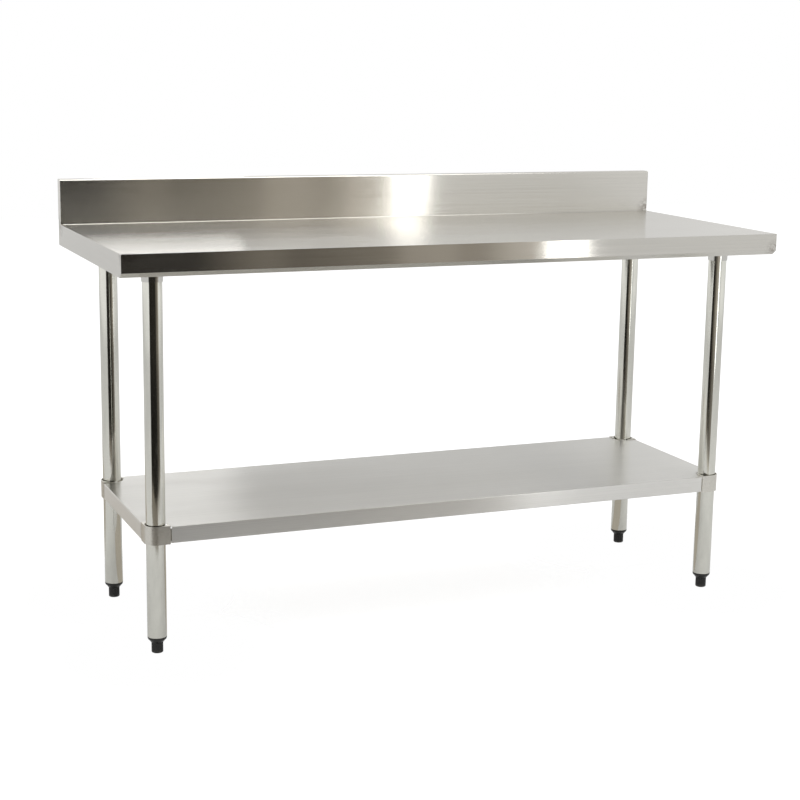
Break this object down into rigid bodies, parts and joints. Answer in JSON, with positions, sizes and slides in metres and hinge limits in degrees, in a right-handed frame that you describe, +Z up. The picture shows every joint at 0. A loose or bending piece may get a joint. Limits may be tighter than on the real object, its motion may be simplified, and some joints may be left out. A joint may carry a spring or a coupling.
{
  "type": "stainless work table",
  "caption": "Freestanding stainless work table: folded worktop with a boxed splashback, round legs, height-adjustable undershelf and screw-adjustable feet.",
  "frame": {"origin": "on the floor, under the centre of the whole table", "axes": "+X along the length, +Y from the front edge to the splashback, +Z up"},
  "size_m": [1.524, 0.61, 0.966],
  "materials": {
    "worktop_steel": "brushed along the table, warm grey",
    "shelf_steel": "fine matt brushed",
    "leg_steel": "bright polished tube",
    "socket_steel": "satin",
    "bracket_metal": "satin casting",
    "channel_steel": "galvanised",
    "zinc_fasteners": "zinc plated",
    "collar_plastic": "moulded black",
    "foot_plastic": "moulded black"
  },
  "bodies": {
    "frame": {"worktop": "worktop_steel", "splash_cap_left": "worktop_steel", "splash_cap_right": "worktop_steel", "cross_channel_left": "channel_steel", "cross_channel_right": "channel_steel", "long_channel": "channel_steel", "leg_socket_fl": "socket_steel", "leg_socket_fr": "socket_steel", "leg_socket_rl": "socket_steel", "leg_socket_rr": "socket_steel", "socket_bolts": "zinc_fasteners", "socket_set_screws": "zinc_fasteners", "leg_fl": "leg_steel", "leg_fr": "leg_steel", "leg_rl": "leg_steel", "leg_rr": "leg_steel", "leg_insert_fl": "collar_plastic", "leg_insert_fr": "collar_plastic", "leg_insert_rl": "collar_plastic", "leg_insert_rr": "collar_plastic"},
    "shelf": {"undershelf": "shelf_steel", "shelf_stiffener": "channel_steel", "shelf_bracket_fl": "bracket_metal", "shelf_bracket_fr": "bracket_metal", "shelf_bracket_rl": "bracket_metal", "shelf_bracket_rr": "bracket_metal", "bracket_set_screws": "zinc_fasteners"},
    "stud_fl": {"foot_stud_fl": "zinc_fasteners"},
    "foot_fl": {"foot_fl": "foot_plastic"},
    "stud_fr": {"foot_stud_fr": "zinc_fasteners"},
    "foot_fr": {"foot_fr": "foot_plastic"},
    "stud_rl": {"foot_stud_rl": "zinc_fasteners"},
    "foot_rl": {"foot_rl": "foot_plastic"},
    "stud_rr": {"foot_stud_rr": "zinc_fasteners"},
    "foot_rr": {"foot_rr": "foot_plastic"}
  },
  "joints": [
    {"name": "shelf_height", "type": "slide", "parent": "frame", "child": "shelf", "axis": [0, 0, 1], "range_m": [-0.15, 0.35]},
    {"name": "foot_travel_fl", "type": "slide", "parent": "frame", "child": "stud_fl", "axis": [0, 0, -1], "range_m": [0, 0.024]},
    {"name": "foot_turn_fl", "type": "hinge", "parent": "stud_fl", "child": "foot_fl", "pos_m": [-0.674, -0.201, 0.01], "axis": [0, 0, -1], "range_deg": [0, 5760]},
    {"name": "foot_travel_fr", "type": "slide", "parent": "frame", "child": "stud_fr", "axis": [0, 0, -1], "range_m": [0, 0.024]},
    {"name": "foot_turn_fr", "type": "hinge", "parent": "stud_fr", "child": "foot_fr", "pos_m": [0.674, -0.201, 0.01], "axis": [0, 0, -1], "range_deg": [0, 5760]},
    {"name": "foot_travel_rl", "type": "slide", "parent": "frame", "child": "stud_rl", "axis": [0, 0, -1], "range_m": [0, 0.024]},
    {"name": "foot_turn_rl", "type": "hinge", "parent": "stud_rl", "child": "foot_rl", "pos_m": [-0.674, 0.201, 0.01], "axis": [0, 0, -1], "range_deg": [0, 5760]},
    {"name": "foot_travel_rr", "type": "slide", "parent": "frame", "child": "stud_rr", "axis": [0, 0, -1], "range_m": [0, 0.024]},
    {"name": "foot_turn_rr", "type": "hinge", "parent": "stud_rr", "child": "foot_rr", "pos_m": [0.674, 0.201, 0.01], "axis": [0, 0, -1], "range_deg": [0, 5760]}
  ],
  "couplings": [
    {"joint": "foot_turn_fl", "follows": "foot_travel_fl", "rad_per_m": 4188.8},
    {"joint": "foot_turn_fr", "follows": "foot_travel_fr", "rad_per_m": 4188.8},
    {"joint": "foot_turn_rl", "follows": "foot_travel_rl", "rad_per_m": 4188.8},
    {"joint": "foot_turn_rr", "follows": "foot_travel_rr", "rad_per_m": 4188.8}
  ]
}
